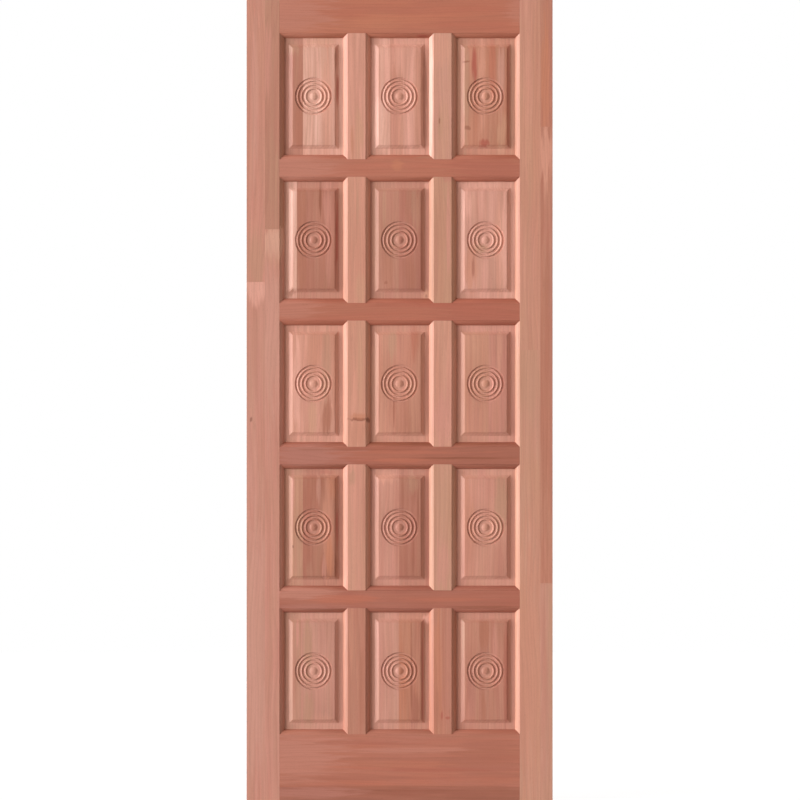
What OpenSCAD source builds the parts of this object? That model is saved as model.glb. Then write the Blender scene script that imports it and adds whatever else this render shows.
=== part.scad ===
// Panelled timber door leaf: three columns of five raised panels, each with a turned roundel.
// X runs across the leaf, Z up, and the shown face looks towards -Y.
// The origin is at the middle of the bottom edge, halfway through the thickness.

/* [Door] */
// Overall width of the leaf
door_w = 800; // [760:5:1000]
// Overall height of the leaf
door_h = 2100; // [2000:10:2400]
// Thickness of the frame members
door_t = 40; // [38:1:60]
// Panels side by side
columns = 3; // [2:1:3]
// Panels one above another
rows = 5; // [4:1:6]

/* [Frame members] */
// Width of each stile, with its moulding
stile_w = 98; // [88:1:112]
// Width of each mullion, with both mouldings
mullion_w = 71; // [60:1:85]
// Width of each cross rail, with both mouldings
cross_rail_w = 70; // [66:1:110]
// Width of the top rail, with its moulding
top_rail_w = 102; // [90:1:150]
// Width of the bottom rail, with its moulding
bottom_rail_w = 189; // [160:1:260]
// Width of the strip glued along the foot of the bottom rail
foot_w = 39; // [25:1:60]

/* [Moulding] */
// Width of the moulding worked along every opening
moulding_w = 12; // [11:0.5:14]
// Depth of the small step between the face and the moulding
step_d = 1.5; // [0.5:0.1:2.5]
// Radius of the round from the step down to the opening
moulding_r = 18; // [15:1:60]
// Thickness of the lip left beside the groove where the curve ends
lip_t = 1.5; // [1:0.1:3]

/* [Panels] */
// Width of the groove that holds the panels
groove_w = 14; // [10:0.5:16]
// Depth of the groove, from the edge of the opening
groove_d = 11; // [8:0.5:11]
// Play between groove and panel, on each face of the panel's tongue
panel_play = 0.2; // [0.1:0.05:0.4]
// Room for the panel to swell, at each of its edges
panel_room = 1.5; // [1:0.1:3]
// Width of the flat border beside each raised field
border_w = 12; // [6:0.5:14]
// Width of the flat border above and below each raised field
border_h = 16; // [6:0.5:20]
// Width of the bevel between border and field
bevel_w = 10; // [6:0.5:14]
// Thickness of the raised field
field_t = 30; // [20:0.5:36]

/* [Roundels] */
// Depth of the turned recess
recess_d = 2.8; // [2:0.1:4]
// Radius of the button in the middle
button_r = 10.5; // [8:0.1:12]
// Radius of the curve over the button
button_dome_r = 24; // [18:0.5:40]
// Radius of the first bead's ring
first_bead_r = 21.2; // [19:0.1:23]
// Distance from bead to bead
bead_pitch = 10.2; // [9:0.1:13]
// Radius of a bead's round
bead_r = 3; // [2.4:0.1:3.6]
// Distance from the last bead to the wall of the recess
wall_gap = 7.2; // [5:0.1:9]
// How far the crests of beads and button lie under the field
crest_drop = 0.2; // [0.1:0.05:0.5]
// Least width of plain field left beside the roundel
roundel_margin = 6; // [4:0.5:12]

/* [Joints] */
// Shoulder at each edge of a tenon
tenon_shoulder = 4; // [2:0.5:8]
// Solid wood left above the tenons of the top rail
top_haunch = 30; // [20:1:40]
// Wood left between the two tenons of the bottom rail
tenon_gap = 26; // [16:1:34]
// Length of the stub tenons on the mullions
stub_l = 18; // [12:0.5:20]
// Room beyond the end of each stub tenon
stub_room = 1.5; // [0.5:0.5:3]
// Glue line round each tenon
glue_line = 0.1; // [0.05:0.05:0.2]
// Length of the tenon wedges
wedge_l = 60; // [40:1:65]
// Thickness of a wedge at the edge of the door
wedge_t = 5; // [3:0.5:7]
// Thickness of a wedge at its tip
wedge_tip = 1; // [0.5:0.5:2]

/* [Staves] */
// Width of the outer staves of the left stile
left_seam = 48; // [35:1:60]
// Width of the outer staves of the right stile
right_seam = 32; // [20:1:60]
// Joint in the left stile's outer staves, above the foot of the second row's openings
left_outer_joint = 48; // [8:1:250]
// Joint in the left stile's inner staves, above the foot of the second row's openings
left_inner_joint = 186; // [8:1:250]
// Lower joint in the right stile's outer staves, above the foot of the fourth row's openings
right_outer_low_joint = 12; // [8:1:250]
// Upper joint in the right stile's outer staves, above the foot of the first row's openings
right_outer_high_joint = 78; // [8:1:250]
// Joint in the right stile's inner staves, above the foot of the third row's openings
right_inner_joint = 246; // [8:1:250]
// Length of the fingers in these joints
finger_l = 10; // [6:0.5:14]
// Fingers across the thickness of a stave
fingers = 9; // [5:1:12]

/* [Hidden] */
$fn = 64;
overcut = 1;

// Sizes that follow from the ones above
tongue_t = groove_w - 2 * panel_play;
tongue_l = groove_d - panel_room;
sight_w = (door_w - 2 * stile_w - (columns - 1) * mullion_w) / columns;
sight_h = (door_h - top_rail_w - bottom_rail_w - (rows - 1) * cross_rail_w) / rows;
panel_w = sight_w + 2 * tongue_l;
panel_h = sight_h + 2 * tongue_l;
field_w = sight_w - 2 * (border_w + bevel_w);
field_h = sight_h - 2 * (border_h + bevel_w);
rail_l = door_w - 2 * (stile_w - moulding_w);
mullion_l = sight_h + 2 * moulding_w;
bead_room = min(field_w, field_h) / 2 - roundel_margin - first_bead_r - wall_gap;
beads = 1 + max(0, floor(bead_room / bead_pitch));
recess_r = first_bead_r + (beads - 1) * bead_pitch + wall_gap;

// Timber tones
pale_pink = [0.82, 0.62, 0.54];
pink_tan = [0.77, 0.56, 0.48];
tan_brown = [0.68, 0.49, 0.38];
rose_brown = [0.63, 0.42, 0.36];
red_brown = [0.70, 0.44, 0.36];
wedge_brown = [0.50, 0.33, 0.25];

// Seams of the glued-up panels, from the middle of the panel, by row and column
panel_seams = [
    [[-28], [-25, 9], []],
    [[-44], [-1], []],
    [[], [], [8]],
    [[-28], [-1], []],
    [[-33], [-2, 28], [-17, 9]]
];

// Tone of each board of each panel, from left to right
panel_tones = [
    [[rose_brown, pale_pink], [pale_pink, pink_tan, pale_pink], [rose_brown]],
    [[pale_pink, rose_brown], [pink_tan, rose_brown], [pale_pink]],
    [[pale_pink], [pink_tan], [tan_brown, pink_tan]],
    [[pink_tan, rose_brown], [pale_pink, rose_brown], [pink_tan]],
    [[tan_brown, pink_tan], [pale_pink, tan_brown, pink_tan], [pink_tan, rose_brown, pink_tan]]
];

// A panel past the end of the lists above is one board
function seams_of(r, c) =
    let (seams = panel_seams[r - 1][c - 1]) is_undef(seams) ? [] : seams;
function tone_of(r, c, board) =
    let (tone = panel_tones[r - 1][c - 1][board]) is_undef(tone) ? pink_tan : tone;

// Left edge and bottom edge of an opening, counted from the left and from the top
function opening_x(c) = -door_w / 2 + stile_w + (c - 1) * (sight_w + mullion_w);
function opening_z(r) = door_h - top_rail_w - r * sight_h - (r - 1) * cross_rail_w;

// Rails are counted from the top rail, which is 0
function rail_w(r) = r == 0 ? top_rail_w : r == rows ? bottom_rail_w : cross_rail_w;
function rail_z(r) = r == 0 ? door_h - top_rail_w : opening_z(r) - rail_w(r);
function worked_below(r) = r < rows;
function worked_above(r) = r > 0;

// Through tenons at one end of a rail, each as its bottom and its top
function rail_tenons(r) =
    r == 0 ? [[rail_z(0) + moulding_w + tenon_shoulder, door_h - top_haunch]]
    : r == rows ? bottom_tenons()
    : [[rail_z(r) + moulding_w + tenon_shoulder,
        rail_z(r) + rail_w(r) - moulding_w - tenon_shoulder]];
function bottom_tenons() =
    let (half_board = (bottom_rail_w - moulding_w - foot_w) / 2)
    [for (i = [0, 1]) [for (end = [0, 1])
        foot_w + (i + end) * half_board + (1 - 2 * end) * tenon_gap / 2]];

// Staves of one layer of a stile, each as name, side, start and end across, bottom and top
function stave_level(i, last) = i == 0 ? "lower" : i == last ? "upper" : "middle";
function layer_staves(side, layer, start, end, joints) =
    let (ends = concat([0], joints, [door_h]), last = len(joints))
    [for (i = [0 : last])
        [str(side, "_stile_", layer, "_", stave_level(i, last)),
         side, start, end, ends[i], ends[i + 1]]];
staves = concat(
    layer_staves("left", "outer", 0, left_seam, [opening_z(2) + left_outer_joint]),
    layer_staves("left", "inner", left_seam, stile_w, [opening_z(2) + left_inner_joint]),
    layer_staves("right", "outer", 0, right_seam,
                 [opening_z(4) + right_outer_low_joint, opening_z(1) + right_outer_high_joint]),
    layer_staves("right", "inner", right_seam, stile_w, [opening_z(3) + right_inner_joint])
);
stave_tones = [
    pink_tan, pale_pink, pink_tan, tan_brown,
    tan_brown, red_brown, tan_brown, pink_tan, pink_tan
];

// Upright boards of the panels, each as name, row, column, left edge, right edge and tone
function board_side(i, last) = i == 0 ? "left" : i == last ? "right" : "middle";
function board_name(r, c, i, last) =
    str("panel_row", r, "_", c, last == 0 ? "" : str("_", board_side(i, last), "_board"));
function panel_boards(r, c) =
    let (edges = concat([-panel_w / 2], seams_of(r, c), [panel_w / 2]), last = len(edges) - 2)
    [for (i = [0 : last])
        [board_name(r, c, i, last), r, c, edges[i], edges[i + 1], tone_of(r, c, i)]];
boards = [for (r = [1 : rows], c = [1 : columns]) each panel_boards(r, c)];

function cross_rail_name(r) = str("cross_rail_", r);
function mullion_name(r, c) = str("mullion_row", r, "_", c);

// Swaps X and Z, so that an upright member lies across the door
module lay_across() {
    mirror([1, 0, -1]) children();
}

// Turns an outline drawn in X and Z into a prism centred in the door's thickness
module through_door(thickness) {
    rotate([90, 0, 0]) linear_extrude(thickness, center = true) children();
}

// What the moulding takes from one corner of a worked edge at x = 0, with its curve through
// the foot of the step and the edge of the opening
module moulding_cut() {
    foot = groove_w / 2 + lip_t;
    drop = door_t / 2 - step_d - foot;
    chord = norm([moulding_w, drop]);
    reach = sqrt(pow(moulding_r, 2) - pow(chord / 2, 2)) / chord;
    difference() {
        translate([-overcut, foot - overcut]) square([overcut + moulding_w, door_t / 2 - foot + 2 * overcut]);
        translate([moulding_w / 2 + reach * drop, foot + drop / 2 - reach * moulding_w]) circle(moulding_r);
    }
}

// What the two mouldings and the panel groove take from a worked edge at x = 0
module edge_cut() {
    moulding_cut();
    mirror([0, 1]) moulding_cut();
    translate([-overcut, -groove_w / 2]) square([overcut + groove_d, groove_w]);
}

// Upright member that starts at x = 0, worked along its low edge, its high edge or both
module member(length, width, low, high) {
    linear_extrude(length) difference() {
        translate([0, -door_t / 2]) square([width, door_t]);
        if (low) edge_cut();
        if (high) translate([width, 0]) mirror([1, 0]) edge_cut();
    }
}

// Face of a member that lies along X, with mitres at the ends of its worked edges
module mitred_face(length, width, low, high) {
    m = moulding_w;
    polygon(concat(
        low ? [[0, m], [m, 0], [length - m, 0], [length, m]] : [[0, 0], [length, 0]],
        high ? [[length, width - m], [length - m, width], [m, width], [0, width - m]]
             : [[length, width], [0, width]]
    ));
}

module rail_face(r) {
    translate([-rail_l / 2, rail_z(r)])
        mitred_face(rail_l, rail_w(r), worked_below(r), worked_above(r));
}

module mullion_face(r, c) {
    translate([opening_x(c) + sight_w, opening_z(r) - moulding_w])
        mirror([1, -1]) mitred_face(mullion_l, mullion_w, true, true);
}

// Through tenons of a rail in one bar from edge to edge, grown by a glue line for mortises
module tenon_bars(r, glue, extra) {
    for (span = rail_tenons(r))
        translate([-door_w / 2 - extra, -groove_w / 2 - glue, span[0] - glue])
            cube([door_w + 2 * extra, groove_w + 2 * glue, span[1] - span[0] + 2 * glue]);
}

// Wedges above and below each through tenon, at both edges of the door
module wedges(r, glue, extra) {
    slope = (wedge_t - wedge_tip) / wedge_l;
    through_door(groove_w + 2 * glue)
        for (side = [0, 1], span = rail_tenons(r), end = [0, 1])
            mirror([side, 0]) translate([-door_w / 2, span[end]]) mirror([0, 1 - end])
                polygon([
                    [-extra, 0], [wedge_l, 0],
                    [wedge_l, wedge_tip], [-extra, wedge_t + slope * extra]
                ]);
}

// Stub tenons of a mullion in one bar, grown by a glue line and end room for mortises
module stub_bar(r, c, glue, room) {
    inset = moulding_w + tenon_shoulder - glue;
    reach = moulding_w + stub_l + room;
    translate([opening_x(c) + sight_w + inset, -groove_w / 2 - glue, opening_z(r) - reach])
        cube([mullion_w - 2 * inset, groove_w + 2 * glue, sight_h + 2 * reach]);
}

// Left stile in one piece, with its outer edge at x = 0
module stile() {
    difference() {
        member(door_h, stile_w, false, true);
        translate([door_w / 2, 0, 0]) for (r = [0 : rows]) {
            through_door(door_t + 2 * overcut) rail_face(r);
            tenon_bars(r, glue_line, overcut);
            wedges(r, glue_line, overcut);
        }
    }
}

// Zigzag of a finger joint across the thickness, at height z
function finger_line(z) = concat(
    [[-door_t / 2 - overcut, z - finger_l / 2]],
    [for (i = [0 : 2 * fingers])
        [door_t * (i / (2 * fingers) - 0.5), z + (i % 2 - 0.5) * finger_l]],
    [[door_t / 2 + overcut, z - finger_l / 2]]
);
function square_line(z) = [for (side = [-1, 1]) [side * (door_t / 2 + overcut), z]];
function reversed(points) = [for (i = [len(points) - 1 : -1 : 0]) points[i]];

// Space that one stave takes in the stile
module stave_zone(start, end, low, high) {
    foot_line = low > 0 ? finger_line(low) : square_line(-overcut);
    head_line = high < door_h ? finger_line(high) : square_line(door_h + overcut);
    from = start > 0 ? start : -overcut;
    to = end < stile_w ? end : stile_w + overcut;
    translate([from, 0, 0]) rotate([90, 0, 90])
        linear_extrude(to - from) polygon(concat(foot_line, reversed(head_line)));
}

module stave(index) {
    s = staves[index];
    color(stave_tones[index]) mirror([s[1] == "right" ? 1 : 0, 0, 0])
        translate([-door_w / 2, 0, 0]) intersection() {
            stile();
            stave_zone(s[2], s[3], s[4], s[5]);
        }
}

// Rail with its through tenons, and with sockets for the mullions above and below it
module rail(r) {
    difference() {
        union() {
            intersection() {
                translate([-rail_l / 2, 0, rail_z(r)]) lay_across()
                    member(rail_l, rail_w(r), worked_below(r), worked_above(r));
                through_door(door_t + 2 * overcut) rail_face(r);
            }
            tenon_bars(r, 0, 0);
        }
        for (row = [r, r + 1], c = [1 : columns - 1])
            if (row > 0 && row <= rows) {
                through_door(door_t + 2 * overcut) mullion_face(row, c);
                stub_bar(row, c, glue_line, stub_room);
            }
    }
}

module top_rail() {
    color(red_brown) rail(0);
}

module cross_rail(r) {
    color(red_brown) rail(r);
}

// Half-space below or above the seam in the bottom rail
module foot_zone(start, end) {
    translate([-door_w / 2 - overcut, -door_t / 2 - overcut, start])
        cube([door_w + 2 * overcut, door_t + 2 * overcut, end - start]);
}

module bottom_rail_board() {
    color(red_brown) intersection() {
        rail(rows);
        foot_zone(foot_w, bottom_rail_w + overcut);
    }
}

module bottom_rail_foot() {
    color(rose_brown) intersection() {
        rail(rows);
        foot_zone(-overcut, foot_w);
    }
}

module mullion(r, c) {
    color(pink_tan) {
        intersection() {
            translate([opening_x(c) + sight_w, 0, opening_z(r) - moulding_w])
                member(mullion_l, mullion_w, true, true);
            through_door(door_t + 2 * overcut) mullion_face(r, c);
        }
        stub_bar(r, c, 0, 0);
    }
}

// Section of a raised panel, across its width or its height
module raised_section(width, border) {
    edge = width / 2;
    foot = edge - tongue_l - border;
    field = foot - bevel_w;
    half_tongue = tongue_t / 2;
    half_field = field_t / 2;
    polygon([
        [-edge, -half_tongue], [-foot, -half_tongue], [-field, -half_field],
        [field, -half_field], [foot, -half_tongue], [edge, -half_tongue],
        [edge, half_tongue], [foot, half_tongue], [field, half_field],
        [-field, half_field], [-foot, half_tongue], [-edge, half_tongue]
    ]);
}

// What turning takes from a field that lies at z = 0 and faces up
module roundel_cut() {
    rotate_extrude() difference() {
        translate([0, -recess_d]) square([recess_r, recess_d + overcut]);
        for (i = [0 : beads - 1])
            translate([first_bead_r + i * bead_pitch, -crest_drop - bead_r]) circle(bead_r);
        intersection() {
            translate([0, -recess_d - overcut]) square([button_r, recess_d + overcut]);
            translate([0, -crest_drop - button_dome_r]) circle(button_dome_r);
        }
    }
}

// Whole panel, centred on the origin, alike on both faces
module panel() {
    difference() {
        intersection() {
            linear_extrude(panel_h, center = true) raised_section(panel_w, border_w);
            lay_across() linear_extrude(panel_w, center = true) raised_section(panel_h, border_h);
        }
        for (side = [-1, 1]) rotate([side * 90, 0, 0])
            translate([0, 0, field_t / 2]) roundel_cut();
    }
}

// One board of a panel, cut from it between two upright seams
module panel_board(board) {
    left = board[3] > -panel_w / 2 ? board[3] : board[3] - overcut;
    right = board[4] < panel_w / 2 ? board[4] : board[4] + overcut;
    color(board[5])
        translate([opening_x(board[2]) + sight_w / 2, 0, opening_z(board[1]) + sight_h / 2])
            intersection() {
                panel();
                translate([left, -door_t / 2, -panel_h / 2 - overcut])
                    cube([right - left, door_t, panel_h + 2 * overcut]);
            }
}

module tenon_wedges() {
    color(wedge_brown) for (r = [0 : rows]) wedges(r, 0, 0);
}

for (i = [0 : len(staves) - 1])
    stave(i);
top_rail();
for (r = [1 : rows - 1])
    cross_rail(r);
bottom_rail_board();
bottom_rail_foot();
for (r = [1 : rows], c = [1 : columns - 1])
    mullion(r, c);
for (board = boards)
    panel_board(board);
tenon_wedges();
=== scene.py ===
"""Panelled timber door leaf: worked mouldings, turned roundels and glued-up boards in bare sanded wood.

X runs across the leaf, Z up, and the shown face looks towards -Y. Lengths are in metres.
"""

import math
from collections import namedtuple
from contextlib import contextmanager
from functools import cache

import bmesh
import bpy
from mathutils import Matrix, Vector


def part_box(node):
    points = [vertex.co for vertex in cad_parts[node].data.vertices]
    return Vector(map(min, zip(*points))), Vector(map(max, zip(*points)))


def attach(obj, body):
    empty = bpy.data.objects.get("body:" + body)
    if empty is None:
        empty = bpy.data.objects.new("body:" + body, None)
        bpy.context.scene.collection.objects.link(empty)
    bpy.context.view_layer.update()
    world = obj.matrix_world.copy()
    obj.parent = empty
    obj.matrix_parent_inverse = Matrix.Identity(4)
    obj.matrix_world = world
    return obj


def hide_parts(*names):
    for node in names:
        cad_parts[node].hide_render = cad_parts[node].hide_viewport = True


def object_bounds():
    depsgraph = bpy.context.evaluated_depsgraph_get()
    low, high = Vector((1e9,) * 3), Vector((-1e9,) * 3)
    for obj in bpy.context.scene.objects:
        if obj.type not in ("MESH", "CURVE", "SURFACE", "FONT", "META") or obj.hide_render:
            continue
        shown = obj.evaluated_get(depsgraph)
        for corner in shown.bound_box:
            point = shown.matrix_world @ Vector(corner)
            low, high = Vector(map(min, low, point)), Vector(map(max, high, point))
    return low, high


bl_info = {
    "name": "Panelled Timber Door",
    "version": (1, 0, 0),
    "blender": (4, 5, 0),
    "location": "3D View > Sidebar > Door",
    "description": "Models and finishes a panelled door leaf round its packed frame",
    "category": "Add Mesh",
}

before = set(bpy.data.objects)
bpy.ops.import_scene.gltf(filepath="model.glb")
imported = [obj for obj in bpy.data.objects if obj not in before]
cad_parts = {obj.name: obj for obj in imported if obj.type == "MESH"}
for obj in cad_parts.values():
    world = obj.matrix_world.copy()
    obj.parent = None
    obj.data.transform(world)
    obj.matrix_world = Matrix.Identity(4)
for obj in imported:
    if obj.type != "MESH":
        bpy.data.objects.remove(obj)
CAD_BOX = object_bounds()

MM = 0.001
NODES = sorted(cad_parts)
ROWS = 1 + sum(name.startswith("cross_rail_") for name in NODES)
COLUMNS = 1 + sum(name.startswith("mullion_row1_") for name in NODES)
FRONT, BACK = CAD_BOX[0].y, CAD_BOX[1].y
DOOR_LEFT, DOOR_RIGHT = CAD_BOX[0].x, CAD_BOX[1].x
DOOR_TOP = CAD_BOX[1].z
CLOSE = 0.01 * MM
OVERCUT = 2 * MM


# Properties

def length(name, description, millimetres, least=0):
    """A length that is set in millimetres and kept in metres."""
    return bpy.props.FloatProperty(
        name=name, description=description, default=millimetres * MM, min=least * MM,
        unit="LENGTH", subtype="DISTANCE", precision=5)


def angle(name, description, degrees):
    """An angle that is set in degrees and kept in radians."""
    return bpy.props.FloatProperty(
        name=name, description=description, default=math.radians(degrees),
        unit="ROTATION", subtype="ANGLE")


def strength(name, description, default):
    """The strength of a light."""
    return bpy.props.FloatProperty(name=name, description=description, default=default, min=0)


def count(name, description, default, least):
    """A whole number, with its least value."""
    return bpy.props.IntProperty(name=name, description=description, default=default, min=least)


def tint(name, description, *colour):
    """A colour as linear light, from 0 to 1."""
    return bpy.props.FloatVectorProperty(
        name=name, description=description, subtype="COLOR", size=3, min=0, max=1, default=colour)


def tone(name, description, *screen):
    """A timber tone that is set as it looks on a screen, from 0 to 255, and kept as linear light."""
    shares = [value / 255 for value in screen]
    return tint(name, description, *(
        share / 12.92 if share <= 0.04045 else ((share + 0.055) / 1.055) ** 2.4 for share in shares))


class DoorMouldings(bpy.types.PropertyGroup):
    """Sizes of what is worked along the edges of stiles, rails and mullions."""

    moulding_w: length("Moulding width", "Width of the moulding along every opening", 12)
    step_d: length("Step depth", "Depth of the small step between face and moulding", 1.5)
    moulding_r: length("Moulding radius", "Radius of the round from the step to the opening", 18)
    lip_t: length("Lip thickness", "Thickness of the lip beside the groove where the curve ends", 1.5)
    groove_w: length("Groove width", "Width of the groove that holds the panels", 14)
    groove_d: length("Groove depth", "Depth of the groove that holds the panels", 11)
    arris: length("Arris", "How far sanding has taken off the sharp edges", 0.4)
    curve_steps: count("Curve steps", "Facets across the curve", 10, 3)


class DoorJoints(bpy.types.PropertyGroup):
    """Sizes of the joints that hold the leaf together."""

    tenon_shoulder: length("Tenon shoulder", "Shoulder at each edge of a tenon", 4)
    top_haunch: length("Top haunch", "Solid wood above the tenons of the top rail", 30)
    tenon_gap: length("Tenon gap", "Wood between the two tenons of the bottom rail", 26)
    glue_line: length("Glue line", "Room for glue round each tenon", 0.1)
    stub_room: length("Stub room", "Room beyond the end of each stub tenon", 1.5)
    finger_l: length("Finger length", "Length of the fingers in a stave joint", 10)
    fingers: count("Fingers", "Fingers across the thickness of a stave", 9, 2)


class DoorPanels(bpy.types.PropertyGroup):
    """Sizes of the raised panels and their turned roundels."""

    tongue_t: length("Tongue thickness", "Thickness of the panel in its groove", 13.6)
    tongue_l: length("Tongue length", "How far the panel goes into its groove", 9.5)
    border_w: length("Border width", "Width of the flat border beside the field", 12)
    border_h: length("Border height", "Width of the flat border above and below the field", 16)
    bevel_w: length("Bevel width", "Width of the bevel between border and field", 10)
    field_t: length("Field thickness", "Thickness of the raised field", 30)
    recess_r: length("Recess radius", "Radius of the turned recess", 48.8)
    recess_d: length("Recess depth", "Depth of the turned recess", 2.8)
    button_r: length("Button radius", "Radius of the button in the middle", 10.5)
    button_dome_r: length("Button dome radius", "Radius of the curve over the button", 24)
    first_bead_r: length("First bead", "Radius of the first bead's ring", 21.2)
    bead_pitch: length("Bead pitch", "Distance from bead to bead", 10.2)
    bead_r: length("Bead radius", "Radius of a bead's round", 3)
    crest_drop: length("Crest drop", "How far beads and button lie under the field", 0.2)
    beads: count("Beads", "Rings round the button", 3, 1)
    turning_steps: count("Turning steps", "Facets round a roundel", 96, 16)


class DoorTones(bpy.types.PropertyGroup):
    """Tones of the bare timber, as they look in plain light."""

    cream_pink: tone("Cream pink", "Palest boards", 241, 192, 173)
    pale_pink: tone("Pale pink", "Light boards", 233, 172, 153)
    salmon: tone("Salmon", "Light mullions and boards", 217, 154, 131)
    ash_pink: tone("Ash pink", "Greyer pink boards", 205, 150, 132)
    pink: tone("Pink", "Pinker boards", 207, 143, 126)
    tan: tone("Tan", "Yellower boards", 203, 150, 122)
    clay: tone("Clay", "Middling boards", 199, 136, 112)
    olive_tan: tone("Olive tan", "Greenish streaks", 188, 140, 114)
    rose: tone("Rose", "Rosy brown boards", 190, 126, 107)
    rose_brown: tone("Rose brown", "Mauve-brown boards", 178, 116, 100)
    brown: tone("Brown", "Darker boards, and streaks in rails", 175, 112, 89)
    orange_brown: tone("Orange brown", "Orange streaks", 197, 126, 95)
    red_brown: tone("Red brown", "Upper rails and bottom rail", 185, 108, 84)
    brick: tone("Brick", "Lower cross rails, and red streaks in every board", 171, 97, 78)
    umber: tone("Umber", "Foot strip and dark ends of rails", 159, 96, 77)
    deep_red: tone("Deep red", "Red streaks", 169, 80, 65)
    dark_brown: tone("Dark brown", "Dark streaks", 141, 80, 57)
    knot_brown: tone("Knot brown", "Knots and pores", 113, 66, 47)


class DoorStudio(bpy.types.PropertyGroup):
    """Camera and lights."""

    camera_distance: length("Camera distance", "From the camera to the middle of the leaf", 12000, 1000)
    view_height: length("View height", "Height of what the picture shows at the leaf", 2091.5, 500)
    view_middle: length("View middle", "Height of the picture's middle above the floor", 1050.8)
    view_shift: length("View shift", "How far right of the leaf's middle the picture's middle lies", 1, -500)
    lamp_rise: angle("Lamp rise", "How far above the leaf the lamps stand", 9)
    key_turn: angle("Key turn", "How far left of the camera the key light stands", 66)
    key_spread: angle("Key spread", "Width of the key light and the back light as the leaf sees them", 44)
    key_power: strength("Key power", "Power of the key light on a square metre", 5.75)
    key_tint: tint("Key tint", "Colour of the key light and the back light, like a window's", 0.93, 0.965, 1)
    fill_turn: angle("Fill turn", "How far right of the camera the fill light stands", 50)
    fill_spread: angle("Fill spread", "Width of the fill light as the leaf sees it", 90)
    fill_power: strength("Fill power", "Power of the fill light on a square metre", 0.75)
    fill_tint: tint("Fill tint", "Colour of the fill light and the room, like a warm wall's", 1, 0.81, 0.68)
    back_turn: angle("Back turn", "How far from square to the leaf's back the back light stands", 45)
    back_power: strength("Back power", "Power of the back light on a square metre", 3.5)
    room_light: strength("Room light", "Strength of the light from all round", 0.2)


GROUPS = {
    "door_mouldings": DoorMouldings,
    "door_joints": DoorJoints,
    "door_panels": DoorPanels,
    "door_tones": DoorTones,
    "door_studio": DoorStudio,
}


def mouldings():
    return bpy.context.scene.door_mouldings


def joints():
    return bpy.context.scene.door_joints


def panels():
    return bpy.context.scene.door_panels


def studio():
    return bpy.context.scene.door_studio


def timber_tone(name):
    return (*getattr(bpy.context.scene.door_tones, name), 1)


# Modelling helpers

# How far the faces beside an edge have to turn for it to be sanded over, left crisp, or left there at all
SANDED_ANGLE = math.radians(30)
CRISP_ANGLE = math.radians(20)
KEPT_ANGLE = math.radians(1)


def deselect():
    """Leaves nothing selected, so that an operator acts on its own piece alone."""
    bpy.ops.object.select_all(action="DESELECT")


def pick(obj):
    """Selects obj alone and makes it active."""
    deselect()
    obj.select_set(True)
    bpy.context.view_layer.objects.active = obj


@contextmanager
def editing(obj):
    """Opens obj in edit mode with all of it selected."""
    pick(obj)
    bpy.ops.object.mode_set(mode="EDIT")
    bpy.ops.mesh.select_all(action="SELECT")
    yield
    bpy.ops.object.mode_set(mode="OBJECT")


def choose(obj, kind, wanted):
    """In edit mode, selects the FACE, EDGE or VERT parts that wanted() picks, and nothing else."""
    bpy.ops.mesh.select_mode(type=kind)
    bpy.ops.mesh.select_all(action="DESELECT")
    mesh = bmesh.from_edit_mesh(obj.data)
    for part in {"FACE": mesh.faces, "EDGE": mesh.edges, "VERT": mesh.verts}[kind]:
        if wanted(part):
            part.select_set(True)
    bmesh.update_edit_mesh(obj.data)


def settle(obj):
    """Moves an object's place and turn into its mesh."""
    pick(obj)
    bpy.ops.object.transform_apply()


def block(name, low, high):
    """Square-edged solid from its low corner to its high corner."""
    low, high = Vector(low), Vector(high)
    deselect()
    bpy.ops.mesh.primitive_cube_add(size=1, location=(low + high) / 2, scale=high - low)
    bpy.context.object.name = name
    settle(bpy.context.object)
    return bpy.context.object


def duplicate(obj, name, offset=(0, 0, 0)):
    """Copy of obj with a mesh of its own, moved by offset."""
    copy = obj.copy()
    copy.data = obj.data.copy()
    copy.name = name
    copy.location = offset
    bpy.context.scene.collection.objects.link(copy)
    settle(copy)
    return copy


def together(objects):
    """Joins several objects into the first."""
    pick(objects[0])
    for obj in objects:
        obj.select_set(True)
    bpy.ops.object.join()
    return objects[0]


def score(point, normal, **cut):
    """In edit mode, marks a plane's line on all faces, or cuts along it."""
    bpy.ops.mesh.select_all(action="SELECT")
    bpy.ops.mesh.bisect(plane_co=point, plane_no=Vector(normal).normalized(), threshold=CLOSE / 10, **cut)


def saw(obj, point, normal):
    """Saws along a plane, throws away the side that the normal points to, and closes the cut."""
    with editing(obj):
        score(point, normal, clear_outer=True, use_fill=True)


def draw_out(reach):
    """In edit mode, draws a flat mesh out along Z into a solid with its faces outwards."""
    bpy.ops.mesh.select_mode(type="FACE")
    bpy.ops.mesh.select_all(action="SELECT")
    bpy.ops.mesh.extrude_region_move(TRANSFORM_OT_translate={"value": (0, 0, reach)})
    bpy.ops.mesh.select_all(action="SELECT")
    bpy.ops.mesh.normals_make_consistent(inside=False)


def apply(obj, modifier):
    """Works a modifier into the mesh."""
    pick(obj)
    bpy.ops.object.modifier_apply(modifier=modifier.name)


def machine(obj, cutters, operation="DIFFERENCE"):
    """Takes the cutters' shape out of obj, keeps only it or adds it, and removes the cutters."""
    cutter = together(cutters)
    modifier = obj.modifiers.new("machine", "BOOLEAN")
    modifier.object = cutter
    modifier.operation = operation
    modifier.solver = "MANIFOLD"
    apply(obj, modifier)
    bpy.data.objects.remove(cutter)


def sand(obj):
    """Takes off the sharp edges, and smooths what is round."""
    modifier = obj.modifiers.new("arris", "BEVEL")
    modifier.width = mouldings().arris
    modifier.segments = 2
    modifier.limit_method = "ANGLE"
    modifier.angle_limit = SANDED_ANGLE
    modifier.use_clamp_overlap = False
    apply(obj, modifier)
    smooth(obj)


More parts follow.
